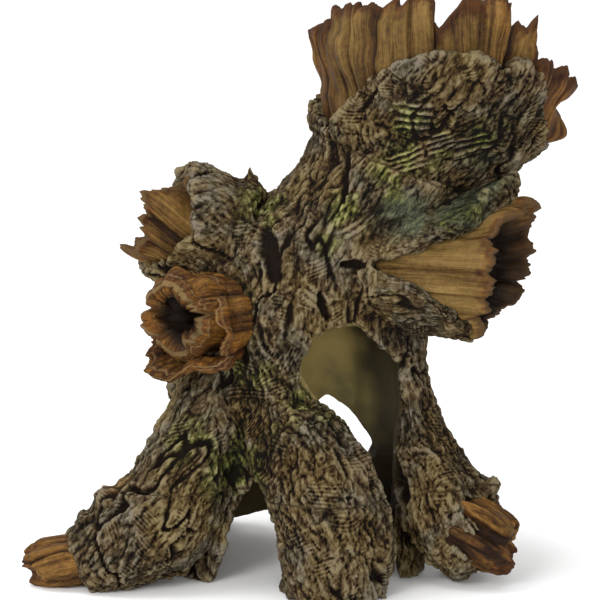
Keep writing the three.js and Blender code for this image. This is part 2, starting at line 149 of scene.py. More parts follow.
def set_coordinates(mesh, co):
    mesh.vertices.foreach_set("co", co.astype(np.float32).ravel())
    mesh.update()


def normals(mesh):
    mesh.update()
    return rows_of(mesh.vertex_normals, "vector", 3, np.float32).astype(np.float64)


def edges(mesh):
    return rows_of(mesh.edges, "vertices", 2, np.int32)


def averaged(values, e, rounds, keep=0.5):
    """Each value drawn towards the mean of its neighbours, a number of times."""
    count = np.bincount(e.ravel(), minlength=len(values)).astype(float)
    shape = values.shape
    values = values.reshape(len(values), -1)
    for _ in range(rounds):
        total = np.empty_like(values)
        for k in range(values.shape[1]):
            total[:, k] = np.bincount(e[:, 0], values[e[:, 1], k], len(values))
            total[:, k] += np.bincount(e[:, 1], values[e[:, 0], k], len(values))
        mean = total / np.maximum(count, 1)[:, None]
        values = values * keep + mean * (1 - keep)
    return values.reshape(shape)


def store(mesh, **marks):
    """What the materials need to know: a value for each vertex, or one for all of them."""
    for name, values in marks.items():
        layer = mesh.attributes.new(name, "FLOAT", "POINT")
        values = np.broadcast_to(np.ravel(values), len(mesh.vertices))
        layer.data.foreach_set("value", values.astype(np.float32))


def store_vector(mesh, name, values):
    layer = mesh.attributes.new(name, "FLOAT_VECTOR", "POINT")
    layer.data.foreach_set("vector", np.asarray(values, np.float32).ravel())


def edited(mesh, change):
    """The mesh after a change to its bmesh."""
    bm = bmesh.new()
    bm.from_mesh(mesh)
    change(bm)
    bm.to_mesh(mesh)
    bm.free()
    return mesh


def face_out(bm):
    bmesh.ops.recalc_face_normals(bm, faces=bm.faces)


def modified(mesh, kind, **settings):
    """A new mesh: the old one as a modifier leaves it."""
    piece = new_object("modified", mesh)
    modifier = piece.modifiers.new(kind, kind)
    for key, value in settings.items():
        setattr(modifier, key, value)
    graph = bpy.context.evaluated_depsgraph_get()
    result = bpy.data.meshes.new_from_object(piece.evaluated_get(graph))
    bpy.data.objects.remove(piece)
    return result


def joined_nodes(names, grow):
    """CAD nodes as one soup of points and faces, grown along their normals to close glue lines."""
    points, faces, count = [], [], 0
    for name in names:
        bm = bmesh.new()
        bm.from_mesh(frame["nodes"][name].data)
        bmesh.ops.remove_doubles(bm, verts=bm.verts, dist=1e-6)
        bmesh.ops.triangulate(bm, faces=bm.faces)
        bm.normal_update()
        bm.verts.index_update()
        for vert in bm.verts:
            points.append(vert.co + vert.normal * grow)
        for face in bm.faces:
            faces.append([v.index + count for v in face.verts])
        count += len(bm.verts)
        bm.free()
    return points, faces


def remeshed(name, nodes, grow, voxel):
    """One watertight skin round some CAD nodes, without the crumbs it leaves inside."""
    rough = mesh_from(name, *joined_nodes(nodes, grow))
    return edited(modified(rough, "REMESH", mode="VOXEL", voxel_size=voxel), drop_crumbs)


def drop_crumbs(bm, fewest=0.02):
    """Deletes every separate body smaller than a share of the largest."""
    left = set(bm.verts)
    bodies = []
    while left:
        stack = [left.pop()]
        body = list(stack)
        while stack:
            for edge in stack.pop().link_edges:
                for other in edge.verts:
                    if other in left:
                        left.remove(other)
                        body.append(other)
                        stack.append(other)
        bodies.append(body)
    largest = max(len(body) for body in bodies)
    crumbs = [v for body in bodies if len(body) < largest * fewest for v in body]
    bmesh.ops.delete(bm, geom=crumbs, context="VERTS")


# ---------- places in millimetres, in the frame ----------
def unit(v):
    v = np.asarray(v, float)
    return v / np.linalg.norm(v)


# part.mjs draws the object first and then sets its box centre on the origin.
SHIFT = np.array([0.393, 1.245, 0.0])


class Axis:
    """A straight axis with the two directions square to it; forward looks at the viewer."""

    def __init__(self, base, axis, squash=1.0):
        self.base = base + SHIFT
        self.along = unit(axis)
        forward = np.array([0.0, -1.0, 0.0])
        self.forward = unit(forward - self.along * forward.dot(self.along))
        self.side = np.cross(self.along, self.forward)
        self.squash = squash

    def place(self, distance, radius, around):
        """Points at a distance up the axis, in millimetres."""
        out = self.base + np.multiply.outer(distance, self.along)
        out += np.multiply.outer(radius * np.sin(around), self.side)
        out += np.multiply.outer(radius * np.cos(around) * self.squash, self.forward)
        return out


SNAG = Axis([40, 1, 175], [0.38, 0.06, 0.92], 0.86)
BRANCH = Axis([28, -14, 146], [0.95, -0.31, 0.02])
KNOT = Axis([-26, -23, 122], [-0.76, -0.64, 0.06])
KNOT_HOLE = Axis([-26, -23, 125], [-0.75, -0.64, 0.09])
STUB = Axis([-22, -2, 149], [-0.9, -0.12, 0.42], 0.9)

# The limbs that bark grows along: from, to, and the radius that each rules over.
LIMBS = {
    "trunk": ([0, 4, 40], [2, 4, 140], 52),
    "neck": ([14, 2, 148], [72, 6, 250], 46),
    "left": ([-40, -20, 95], [-98, -46, 12], 24),
    "front": ([-16, -40, 98], [17, -64, 10], 24),
    "right": ([50, -10, 100], [84, -36, 16], 20),
    "rear_left": ([-24, 40, 84], [-52, 74, 0], 17),
    "rear_right": ([42, 32, 86], [63, 68, 0], 16),
    "branch": ([40, -12, 146], [105, -38, 149], 26),
    "knot": ([-30, -27, 122], [-60, -52, 125], 20),
    "stub": ([-30, -3, 153], [-70, -8, 172], 26),
}


def limb_weights(points):
    """How much each limb rules over each point, and the limbs' own frames."""
    scores = []
    frames = []
    for start, end, radius in LIMBS.values():
        a = start + SHIFT
        d = end + SHIFT - a
        t = np.clip((points - a) @ d / d.dot(d), 0, 1)
        scores.append((np.linalg.norm(points - a - t[:, None] * d, axis=1) - radius) / 3.0)
        along = unit(d)
        across = unit(np.cross(along, [0.3, 1.0, 0.1]))
        frames.append(np.stack([across, np.cross(along, across), along]))
    scores = -np.asarray(scores)
    scores -= scores.max(0)
    weights = np.exp(scores)
    return weights / weights.sum(0), frames


# ---------- bark ----------
FLOW_STRETCH = 0.27  # bark streaks are this much thinner than they are long
GOUGE_DEPTH = 7.0
BAR_HEIGHT = 1.3
CALM = 0.7  # the share of the relief that lichen fills in
LIMB_SEEDS = 20  # noise seeds kept for each limb
FLOW_STEP = 50  # moves each limb into noise of its own


def bark_relief(points):
    """Height of the bark in millimetres over its smooth form, and what the paint needs to know of it."""
    weights, frames = limb_weights(points)
    ruling = weights.argmax(0)
    height, furrows, plates, stripes = np.zeros((4, len(points)))
    flow = np.zeros((len(points), 3))
    for i, (weight, rows) in enumerate(zip(weights, frames)):
        here = weight > 0.02
        if not here.any():
            continue
        q = points[here] @ rows.T
        h, furrow, stripe, plate = limb_bark(q, LIMB_SEEDS * (i + 2))
        height[here] += weight[here] * h
        furrows[here] += weight[here] * furrow
        first = ruling[here] == i
        own = np.flatnonzero(here)[first]
        flow[own] = q[first] * (1, 1, FLOW_STRETCH) + FLOW_STEP * i
        stripes[own] = stripe[first]
        plates[own] = plate[first] * step(0.5, 0.8, weight[own])
    lumps = 1.9 * layered_noise(points / 24, 5) + layered_noise(points / 9, 8)
    grains = 0.35 * layered_noise(points / 2.8, 11, 0.8)
    calm = 1 - CALM * near_any(points, LICHEN)
    gouge = gouged(points)
    barred, bar = bars(points)
    height = (height * (1 - 0.8 * barred) + lumps + grains) * calm - GOUGE_DEPTH * gouge
    height += BAR_HEIGHT * (bar - 0.3) * barred
    for entry in STRIPES:
        across, inside = one_set(points, *entry, STRIPE_PITCH)
        stripes = np.where(inside > 0.3, across, stripes)
        plates = np.maximum(plates, inside)
    return {
        "height": height, "furrow": np.maximum(furrows * calm, gouge), "flow": flow, "stripe": stripes,
        "plate": plates * calm * (1 - barred), "bar": barred * step(0.3, 0.8, bar),
    }


def limb_bark(q, seed):
    """Bark on a limb that runs along the third coordinate."""
    bend = np.stack([value_noise(q / 16, seed), value_noise(q / 16 + 9, seed), np.zeros(len(q))], 1)
    w = q + 4.0 * bend
    # rounded folds along the limb, with deep furrows that open and close between them
    fold = np.abs(layered_noise(w / (13, 13, 46), seed + 1))
    opened = step(-0.15, 0.5, value_noise(w / (20, 20, 32), seed + 3))
    furrow = (1 - step(0.0, 0.13, fold)) * opened
    # long flakes with cracks between, some of them lifted
    border, mark, _ = cells(w / (4.2, 4.2, 14.0), seed + 4)
    crack = 1 - step(0.0, 0.26, border)
    # each flake is broken across in small chips
    border2, chip, _ = cells(w / (2.8, 2.8, 4.6), seed + 9)
    chipped = 1 - step(0.0, 0.3, border2)
    # thin stripes across the limb on a few plates, tilted differently on each
    edge, tilted, chosen = cells(w / (11.0, 11.0, 12.0), seed + 13)
    tilt = (tilted - 0.5) * 1.5
    stripe = (q[:, 0] + q[:, 1]) * np.sin(tilt) + q[:, 2] * np.cos(tilt)
    plate = step(0.76, 0.8, chosen) * step(0.05, 0.2, edge)
    height = -5.2 * furrow + 2.6 * np.minimum(fold, 0.45) - 1.0 * crack + (mark - 0.5) * 1.3 - 0.4
    height += (1 - 0.8 * plate) * ((chip - 0.5) * 0.7 - 0.35 * chipped)
    return height, furrow, stripe, plate


# Places painted differently: centre and reach in millimetres.
LICHEN = [(74, -48, 182, 15), (50, -46, 176, 13), (88, -42, 194, 10)]
BARE = [(42, -45, 112, 6), (-86, -44, 50, 8), (-31, -40, 126, 4), (60, -48, 30, 5)]
# Swellings: centre, reach and height.
SWELLS = [
    (28, -64, 60, 12, 2.5), (-90, -44, 40, 7, 5.0), (91, -38, 53, 10, 7.0), (41, 42, 30, 17, 6.5),
]
# Deep gouges, painted dark as painted shade: from, to and half width.
GOUGES = [
    ([24, -46, 214], [21, -46, 180], 2.6), ([-16, -42, 168], [-11, -44, 146], 4.4),
    ([22, -44, 152], [30, -46, 151], 2.6), ([17, -66, 69], [23, -74, 50], 2.8),
    ([10, -46, 138], [14, -46, 126], 2.2), ([-37, -44, 46], [-49, -58, 30], 2.4),
    ([64, -46, 232], [70, -52, 220], 1.2), ([36, -44, 232], [28, -44, 216], 1.2),
    ([44, -36, 60], [50, -40, 34], 3.0), ([-56, 44, 110], [-46, 52, 70], 3.6),
    ([20, 54, 150], [34, 50, 110], 3.6), ([80, 30, 230], [70, 36, 190], 3.6),
    ([-2, 52, 170], [-8, 56, 120], 3.4),
]
# Sets of short raised bars on the front: middle, slope in degrees, length, how many, and spacing.
BARS = [
    ((52, -46, 221), 0, 17, 4, 3.7), ((80, -44, 207), 12, 18, 3, 3.2), ((50, -46, 199), 22, 20, 4, 2.7),
    ((66, -46, 209), 18, 14, 4, 2.6), ((26, -46, 168), 30, 12, 2, 3.6), ((8, -48, 136), -38, 13, 3, 3.0),
]
# Sets of thin stripes: middle, slope in degrees, length and how many.
STRIPE_PITCH = 1.8
STRIPES = [
    ((12, -86, 50), -4, 16, 7), ((-24, -42, 163), 2, 12, 5), ((-22, -50, 92), 6, 22, 4),
    ((-4, -50, 108), 60, 14, 6), ((8, -42, 134), -20, 16, 6), ((-40, -46, 70), 30, 14, 6),
    ((10, -44, 150), 20, 12, 6), ((70, -44, 176), 30, 16, 6), ((-12, -60, 60), 60, 14, 6),
]
SET_DEPTH = 22  # how far before or behind its middle a set reaches
# Dark washes, partly painted shade on the right and low parts: centre, reach and strength.
WASH_AND_SHADE = [
    (86, -36, 220, 32, 1.0), (66, -44, 236, 18, 0.6), (52, -44, 208, 34, 0.4), (74, -46, 193, 17, 0.9),
    (108, -28, 243, 12, 1.0), (-40, -46, 50, 30, 0.8), (-25, -50, 64, 24, 0.6), (16, -82, 30, 24, 0.35),
    (48, -34, 30, 16, 1.0), (46, -30, 50, 12, 0.8), (84, -44, 126, 12, 0.9), (-20, -12, 176, 14, 0.7),
    (-60, -30, 122, 16, 0.7), (-80, -44, 16, 22, 0.6), (16, -44, 190, 10, 0.5), (102, 0, 215, 20, 0.8),
    (88, -48, 30, 8, 0.7), (62, -44, 214, 14, 0.5), (20, -44, 206, 8, 0.6), (36, -46, 180, 10, 0.5),
    (-62, -22, 150, 13, 0.8), (-10, -44, 158, 9, 0.6), (-64, -44, 44, 12, 0.5), (16, -60, 74, 9, 0.7),
]


def spots(points, places, full, none, ragged=0.0):
    """The strongest of some soft round spots: full and none are where each stops being whole, and ends."""
    amount = np.zeros(len(points))
    for x, y, z, reach, *strength in places:
        away = np.linalg.norm(points - (x, y, z) - SHIFT, axis=1) / reach
        amount = np.maximum(amount, (strength or [1])[0] * (1 - step(full, none, away + ragged)))
    return amount


def washed_and_shaded(points):
    """How dark the paint is laid on: dark washes, partly painted shade on the right and low parts."""
    return spots(points, WASH_AND_SHADE, 0.3, 1.3, 0.35 * layered_noise(points / 8, 69))


def near_any(points, places):
    """1 at the centre of each place, and 0 beyond its reach."""
    return spots(points, places, 0.45, 1.35, 0.25 * value_noise(points / 5, 61))


def gouged(points):
    """How deep in a gouge each point is, from 0 to 1. A gouge reaches far in depth, to meet the surface."""
    amount = np.zeros(len(points))
    moved = points + 1.2 * np.stack([value_noise(points / 6 + 3 * k, 63 + k) for k in range(3)], 1)
    for start, end, half in GOUGES:
        a = start + SHIFT
        d = end + SHIFT - a
        t = np.clip((moved - a) @ d / d.dot(d), 0, 1)
        away = (moved - a - t[:, None] * d) * (1, 0.15, 1)
        narrow = half * (0.35 + 0.65 * np.sin(math.pi * (0.12 + 0.76 * t)))
        amount = np.maximum(amount, 1 - step(0.2, 1.3, np.linalg.norm(away, axis=1) / narrow))
    return amount


def one_set(points, middle, slope, length, count, spacing):
    """Distance across one set of bars, in millimetres, and where the set is."""
    r = points - middle - SHIFT
    turn = math.radians(slope)
    ragged = value_noise(points / 4, 68)
    u = r[:, 0] * math.cos(turn) + r[:, 2] * math.sin(turn) + 2 * ragged
    v = r[:, 2] * math.cos(turn) - r[:, 0] * math.sin(turn) + 0.5 * ragged
    inside = (1 - step(0.75, 1.1, np.abs(u) / (length / 2))) * (np.abs(r[:, 1]) < SET_DEPTH)
    return v, inside * (1 - step(0.9, 1.1, np.abs(v) / (count * spacing / 2)))


def bars(points):
    """Where the sets of bars are, and the height of the bars from 0 to 1."""
    where, height = np.zeros((2, len(points)))
    for entry in BARS:
        across, inside = one_set(points, *entry)
        *_, count, spacing = entry
        phase = across / spacing + (0.5 if count % 2 else 0.0)
        height = np.where(inside > where, 0.5 - 0.5 * np.cos(2 * math.pi * phase), height)
        where = np.maximum(where, inside)
    return where, height


# The trunk's section: height, centre in X and Y, half width and half depth. Then its wall.
TRUNK = [
    (-6, 0, 2, 64, 58), (45, 0, 2, 62, 56), (95, -1, 2, 60, 52), (130, 0, 2, 60, 49), (154, 10, 2, 56, 46),
    (171, 31, 1, 49, 43), (186, 43, 1, 44, 41), (206, 52, 2, 43, 40), (224, 56, 2, 43, 40),
]
WALL = 9.0


def inside_trunk(points):
    """1 on the smooth lining of the cave, 0 on the bark."""
    table = np.asarray(TRUNK, float)
    z = points[:, 2]
    cx, cy, hx, hy = (np.interp(z, table[:, 0], table[:, k]) for k in (1, 2, 3, 4))
    x = (points[:, 0] - cx - SHIFT[0]) / (hx - WALL)
    y = (points[:, 1] - cy - SHIFT[1]) / (hy - WALL)
    return 1 - step(1.03, 1.10, np.hypot(x, y))


# Where moss is brushed on: place and reach.
MOSS = [
    (50, -46, 218, 9), (70, -46, 206, 12), (43, -42, 191, 11), (-16, -18, 172, 12), (-27, -50, 56, 20),
    (-8, -52, 74, 12), (48, -44, 96, 7), (-62, -34, 40, 12), (14, -40, 160, 7), (92, -52, 189, 8),
    (80, -54, 181, 8), (66, -54, 174, 8), (54, -52, 168, 6), (96, -46, 205, 12), (-46, -44, 64, 16),
    (4, -52, 84, 14), (-20, -40, 100, 14), (24, -44, 176, 12), (62, -46, 196, 10), (-30, -40, 132, 9),
    (82, -44, 207, 13), (50, -46, 200, 12), (-30, 50, 120, 22), (40, 48, 150, 20), (60, 66, 40, 14),
    (-44, 60, 50, 14), (78, 20, 205, 16),
]


def mossy(points):
    """How thick the moss green is brushed on, broken up by noise."""
    return spots(points, MOSS, 0.35, 1.5) * step(-0.45, 0.35, layered_noise(points / 6.5, 70)) * 1.15


RAY_START = 0.4 * MM  # under the surface, so that a ray doesn't hit where it starts
RAY_REACH = 16 * MM


def wall_thickness(mesh, co, n):
    """How deep the solid is under each vertex, in metres, as far as a ray reaches."""
    bm = bmesh.new()
    bm.from_mesh(mesh)
    tree = BVHTree.FromBMesh(bm)
    bm.free()
    depth = np.full(len(co), RAY_REACH)
    for i, (start, inward) in enumerate(zip(co - n * RAY_START, -n)):
        distance = tree.ray_cast(start, inward, RAY_REACH)[3]
        if distance is not None:
            depth[i] = distance
    return depth


BARK_NODES = [
    "trunk_front_shell", "trunk_rear_shell", "snag_bark_sleeve", "branch_bark_collar", "stub_bark",
    "left_root", "front_root", "right_root", "rear_left_root", "rear_right_root",
]
VOXEL = 1.2 * MM
GLUE_FILL = 0.9 * MM  # the nodes grow this much, so that no glue line shows
WALL_SHARE = 0.42  # the relief stays within this share of the wall under it


def bark_skin():
    """All the bark as one skin, so that no casting shows where it meets the next."""
    mesh = remeshed("skin", BARK_NODES, GLUE_FILL, VOXEL)
    e = edges(mesh)
    co = averaged(coordinates(mesh), e, 6)
    set_coordinates(mesh, co)
    n = averaged(normals(mesh), e, 8)
    n /= np.linalg.norm(n, axis=1)[:, None]
    limit = WALL_SHARE * averaged(wall_thickness(mesh, co, n), e, 6) / MM
    points = co / MM
    bark = bark_relief(points)
    lining = inside_trunk(points)
    height = limit * np.tanh(bark["height"] / limit)
    smooth = 0.9 * layered_noise(points / 20, 90) + 0.12 * layered_noise(points / 3, 95)
    height = height * (1 - lining) + smooth * lining
    for *spot, rise in SWELLS:
        height += rise * near_any(points, [spot])
    co = co + n * (height * MM)[:, None]
    co[:, 2] = np.maximum(co[:, 2], 0)
    set_coordinates(mesh, co)
    mesh.shade_smooth()
    co = coordinates(mesh)
    n = normals(mesh)
    # the dark washes are partly painted shade on the right and low parts
    on_bark = dict(
        furrow=bark["furrow"], bar=bark["bar"], plate=bark["plate"], moss=mossy(points),
        lichen=near_any(points, LICHEN), bare=near_any(points, BARE), wash=washed_and_shaded(points),
    )
    store(mesh, **{name: values * (1 - lining) for name, values in on_bark.items()})
    store(
        mesh, stripe=bark["stripe"], lining=averaged(lining, e, 2),
        # painted shade on the cave's lining towards the right
        dusk=step(34, 50, points[:, 0] + 0.15 * points[:, 2] + 5 * value_noise(points / 9, 97)),
        fine=((co - averaged(co, e, 3, 0.3)) * n).sum(1) / MM,
        # broad hollows get painted shade and broad bulges get painted light
        broad=((co - averaged(co, e, 24, 0.3)) * n).sum(1) / MM,
    )
    store_vector(mesh, "flow", bark["flow"])
    return mesh


# ---------- dividing the skin into castings ----------
REACH = 0.5  # metres, past every side of the object
# Cutters round the collars: axis, and pairs of distance and radius in millimetres.
COLLARS = {
    "branch_bark_collar": (BRANCH, [(19, 30), (40, 33), (62, 42), (84, 52)]),
    "stub_bark": (STUB, [(18, 32), (34, 35), (60, 40)]),
    "snag_bark_sleeve": (SNAG, [(18, 90), (140, 120)]),
}


def block(low, high=(REACH, REACH, REACH)):
    """A plain box between two corners, in metres, as a cutter."""
    corners = [[(low, high)[k][i] for i, k in enumerate(c)] for c in np.ndindex(2, 2, 2)]
    faces = [(0, 1, 3, 2), (4, 6, 7, 5), (0, 4, 5, 1), (2, 3, 7, 6), (0, 2, 6, 4), (1, 5, 7, 3)]
    return cutter(mesh_from("block", corners, faces))


def cutter(mesh):
    """Cutters are only used by booleans, and are removed when the skin is divided."""
    piece = new_object("cutter", mesh)
    piece.hide_render = True
    return piece


def cone(axis, table, sides=32):
    """A closed cutter round an axis: distance and radius pairs in millimetres."""
    around = np.arange(sides) * 2 * math.pi / sides
    rings = [axis.place(np.full(sides, s), np.full(sides, r), around) for s, r in table]
    points = np.vstack(rings) * MM
    faces = [list(range(sides))[::-1], [sides * (len(table) - 1) + k for k in range(sides)]]
    for j in range(len(table) - 1):
        for k in range(sides):
            a, b = sides * j + k, sides * j + (k + 1) % sides
            faces.append([a, b, b + sides, a + sides])
    return cutter(edited(mesh_from("cone", points, faces), face_out))


def right_of(left, right):
    """A block from the gap between two neighbours on, as a cutter that keeps the right one."""
    gap = (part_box(left)[1].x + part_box(right)[0].x) / 2
    return block((gap, -REACH, -REACH))


def split(mesh, tool):
    """The part inside a closed cutter, and the part outside it. Both keep the stored attributes."""
    return [
        modified(mesh, "BOOLEAN", operation=kind, solver="MANIFOLD", object=tool)
        for kind in ("INTERSECT", "DIFFERENCE")]


def divided(skin):
    """The skin as one closed mesh for each casting of bark."""
    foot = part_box("trunk_front_shell")[0].z
    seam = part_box("rear_left_root")[0].y
    parts = {}
    rest = skin
    for name, (axis, table) in COLLARS.items():
        parts[name], rest = split(rest, cone(axis, table))
    lower, upper = split(rest, block((-REACH, -REACH, -REACH), (REACH, REACH, foot)))
    rear_half = block((-REACH, seam, -REACH))
    parts["trunk_rear_shell"], parts["trunk_front_shell"] = split(upper, rear_half)
    rear_feet, front_feet = split(lower, rear_half)
    between = right_of("rear_left_root", "rear_right_root")
    parts["rear_right_root"], parts["rear_left_root"] = split(rear_feet, between)
    parts["right_root"], rest = split(front_feet, right_of("front_root", "right_root"))
    parts["front_root"], parts["left_root"] = split(rest, right_of("left_root", "front_root"))
    for piece in [o for o in bpy.data.objects if o.name.startswith("cutter")]:
        bpy.data.objects.remove(piece)
    return parts


# ---------- heartwood tubes ----------
def table_blend(table, at):
    """A smooth curve through (place, value) pairs, level at each of them."""
    x = np.asarray([row[0] for row in table], float)
    y = np.asarray([row[1] for row in table], float)
    at = np.clip(at, x[0], x[-1])
    k = np.clip(np.searchsorted(x, at, side="right") - 1, 0, len(x) - 2)
    t = (at - x[k]) / (x[k + 1] - x[k])
    return y[k] + (y[k + 1] - y[k]) * t * t * (3 - 2 * t)


def rim_table(table, degrees):
    """The same, for a table of degrees that closes on itself."""
    first = table[0][0]
    closed = list(table) + [(first + 360, table[0][1])]
    return table_blend(closed, (degrees - first) % 360 + first)


def planks(degrees, count, seed):
    """Planks of uneven width round a tube: index, place across it (-1 to 1), and random numbers."""
    random = np.random.default_rng(seed)
    widths = random.uniform(0.6, 1.4, count)
    ends = np.cumsum(widths) / widths.sum()
    turn = ((degrees + 180) / 360) % 1
    index = np.searchsorted(ends, turn, side="right") % count
    starts = np.concatenate([[0], ends[:-1]])
    across = (turn - starts[index]) / (ends - starts)[index] * 2 - 1
    return index, across, random.uniform(-1, 1, (4, count))


FIBRE_STRETCH = 0.05  # fibres are this much thinner than they are long
LEAST_WALL = 1.3
GROOVE_SHADE = 1.2  # the grooves between planks are painted as if this much deeper


def wood_grain(p):
    """Height of the grain in millimetres: fibres that run along the third coordinate."""
    wander = 1.5 * value_noise(p / (14, 14, 40), 31)
    p = p + wander[:, None] * np.array([1, 1, 0])
    coarse = np.abs(value_noise(p / (5.5, 5.5, 90), 32))
    middle = np.abs(value_noise(p / (2.6, 2.6, 45), 33))
    fine = value_noise(p / (1.3, 1.3, 22), 34)
    return 1.5 * np.minimum(coarse, 0.5) + 0.9 * np.minimum(middle, 0.5) + 0.22 * fine - 0.55


class PlankTube:
    """A tube of broken planks: rows of points that run up its outside, over its rim and down its inside."""

    def __init__(self, axis, spec):
        self.axis = axis
        self.spec = spec
        self.step = spec["step"]
        mean_radius = float(table_blend(spec["flare"], 60))
        self.sides = int(2 * math.pi * mean_radius / self.step)
        self.around = -math.pi + np.arange(self.sides) * 2 * math.pi / self.sides
        self.degrees = np.degrees(self.around)
        index, self.across, luck = planks(self.degrees, spec["planks"], spec["seed"])
        self.luck = luck[:, index]
        self.groove = np.abs(self.across) ** 6
        circle = [np.cos(self.around), np.sin(self.around), np.zeros(self.sides)]
        self.ring = np.stack(circle, 1) * mean_radius
        self.tip = self.torn_rim()

    def torn_rim(self):
        """How far along the axis each column reaches, over planks of uneven length."""
        spec = self.spec
        tip = rim_table(spec["rim"], self.degrees)
        tip = tip + self.luck[0] * spec["ragged"] - spec["lower"]
        notch = spec["notch"] * (0.6 + 0.6 * self.luck[1])
        tip = tip - notch * np.abs(self.across) ** 3.5 - spec["domed"] * self.across ** 2
        tip = tip + 1.6 * np.abs(value_noise(self.ring / 2.2, 41))
        tip = tip + 0.9 * value_noise(self.ring / 1.1, 42) - 0.8
        return tip - spec["bites"] * step(0.1, 0.7, value_noise(self.ring / 4.5, 48))

    def unrolled(self, distance):
        """Points on a plain cylinder, where noise closes round the tube."""
        x, y = (np.tile(self.ring[:, k], len(distance)) for k in (0, 1))
        return np.stack([x, y, distance.ravel()], 1)

    def shell(self, side):
        """The outside (1) or the inside (-1): distance, radius, grain, and how far below the rim it is."""
        spec = self.spec
        start = spec["start"]
        rows = int((float(self.tip.max()) - start) / (self.step * 1.25))
        up = np.linspace(0, 1, rows) ** 0.9
        distance = start + np.multiply.outer(up, self.tip - start)
        left = np.clip((self.tip - distance) / spec["taper"], 0, 1)
        bulge = np.sin(math.pi * np.clip(left * 1.3, 0, 1)) * (1 - self.across ** 2)
        hump = self.luck[1] * spec["hump"] * bulge
        for turn, height, wide, long, out in spec["lumps"]:
            near = ((self.degrees - turn) / wide)[None] ** 2 + ((distance - height) / long) ** 2
            hump = hump + out * np.exp(-near)
        place = self.unrolled(distance)
        grain = wood_grain(place).reshape(distance.shape)
        hump = hump + spec["lumpy"] * value_noise(place / 7.5, 47).reshape(distance.shape)
        radius = table_blend(spec["flare"], distance) - spec["inset"] + hump
        radius += self.luck[2] * spec["swing"] * (1 - left * 0.6)
        if side > 0:
            return distance, radius + grain - self.groove * spec["groove"], grain, left
        wall = spec["wall"] * (spec["thin"] + (1 - spec["thin"]) * left ** 0.6)
        return distance, radius - wall - grain + self.groove * spec["groove"] * 0.8, grain, left

    def lip_row(self, share, outer, inner):
        """A row of the rim, a share of the way from the outer radius to the inner one."""
        brow = self.spec["brow"]
        arch = math.sin(math.pi * share)
        fibre = 0.9 * value_noise(self.ring / 1.4 + 5 * share, 43) * arch
        edge = brow < 2 or abs(share - 0.35) < 0.12
        return [
            self.tip + arch * (0.7 + brow) + fibre, outer * (1 - share) + inner * share, fibre * 0.8,
            np.full(self.sides, -0.1 if edge else 0.3), np.full(self.sides, share),
        ]

    def mesh(self, name):
        """The closed tube, with what its material needs."""
        spec = self.spec
        distance, outer, grain, left = self.shell(1)
        rows = [[distance, outer, grain - self.groove * GROOVE_SHADE, left, np.zeros_like(left)]]
        distance, inner, grain, left = self.shell(-1)
        # no inside may cut through the outside
        inner = np.minimum(inner, outer - LEAST_WALL)
        steps = 4 + spec["brow"]
        for k in range(1, steps):
            rows.append(self.lip_row(k / steps, outer[-1], inner[-1]))
        down = [distance, inner, grain - self.groove * GROOVE_SHADE, left, np.ones_like(left)]
        rows.append([part[::-1] for part in down])
        distance, radius, grain, left, inside = (np.vstack(column) for column in zip(*rows))
        count = len(distance)
        turned = self.around + table_blend(spec["lean"], self.degrees) * np.maximum(self.tip - distance, 0)
        points = self.axis.place(distance.ravel(), radius.ravel(), turned.ravel()) * MM
        row, column = np.arange(count)[:, None], np.arange(self.sides)[None]
        next_row, next_column = (row + 1) % count, (column + 1) % self.sides
        corners = [(row, column), (row, next_column), (next_row, next_column), (next_row, column)]
        quads = np.stack([a * self.sides + b for a, b in corners], -1).reshape(-1, 4)
        mesh = edited(mesh_from(name, points, quads), face_out)
        depth = step(*spec["dark"], distance)
        store(
            mesh, grain=grain, left=left, lit=1 - inside * (1 - depth), pale=spec["pale"],
            tone=np.tile(self.luck[3] * 0.5 + spec["shade"] * 4, count),
            orange=np.tile(table_blend(spec["orange"], self.degrees), count),
        )
        store_vector(mesh, "fibre", self.unrolled(distance * FIBRE_STRETCH))
        mesh.shade_smooth()
        return mesh


def level(value):
    """A table with one value all the way round."""
    return [(-180, value), (180, value)]


# Measures of each tube in millimetres, and degrees round it from the side that faces the viewer.
# start, rim, flare: where it begins and ends, and its radius at each distance
# wall, thin, taper: its wall, the share of that left at the rim, and the length that it thins over
# inset, lower: how much smaller it is than its CAD solid; step: size of a face; brow: thickness of the rim
# planks, seed: how many planks, and their random draw; ragged, swing, hump: how unevenly they end,
#   stand out and bulge; notch, domed, bites, groove: what is torn off between, across and beside them
# lumps: degrees, distance, width, length and height of each; lumpy: height of the noise
# lean: radians that planks turn in each millimetre down; dark: from where to where the inside gets light
# shade, pale, orange: paint
COMMON = dict(lumps=[], brow=1, step=0.8, lean=level(0))
SNAG_TUBE = dict(
    COMMON, start=12, flare=[(-20, 35), (16, 36), (36, 46), (60, 61), (85, 63), (115, 64)], wall=6.5,
    rim=[
        (-180, 76), (-140, 68), (-110, 61), (-94, 59), (-84, 62), (-76, 70), (-68, 76), (-56, 80),
        (-44, 86), (-38, 87), (-32, 92), (-24, 97), (-18, 98), (-14, 94), (-10, 89), (-7, 97), (-4, 105),
        (4, 109), (10, 111), (14, 109), (18, 103), (24, 102), (28, 108), (31, 102), (34, 94), (44, 90),
        (54, 92), (66, 88), (74, 87), (86, 80), (94, 76), (102, 70), (112, 68), (145, 74),
    ],
    lumps=[
        (8, 104, 9, 9, 3.5), (28, 100, 4, 12, 2.5), (88, 59, 12, 7, 7.5), (76, 84, 8, 6, 3.0),
        (90, 71, 14, 3.5, -6.5),
    ],
    lumpy=1.7, bites=4.0, thin=0.6, planks=26, seed=3, ragged=1.0, notch=3.0, domed=1.8, taper=24,
    swing=1.9, hump=3.0, groove=1.8, inset=1.0, dark=(10, 74), step=1.0, pale=0.0, shade=-0.3, lower=1.0,
    lean=[(-180, 0), (-100, 0), (-62, 0.0055), (-5, 0.0075), (25, 0.003), (60, 0), (180, 0)],
    orange=[
        (-180, 0.3), (-96, 0.2), (-88, 0.8), (-76, 0.7), (-66, 0.1), (0, 0.15), (12, 0.6), (26, 0.3),
        (44, 0.8), (90, 0.9), (140, 0.4), (180, 0.3),
    ],
)
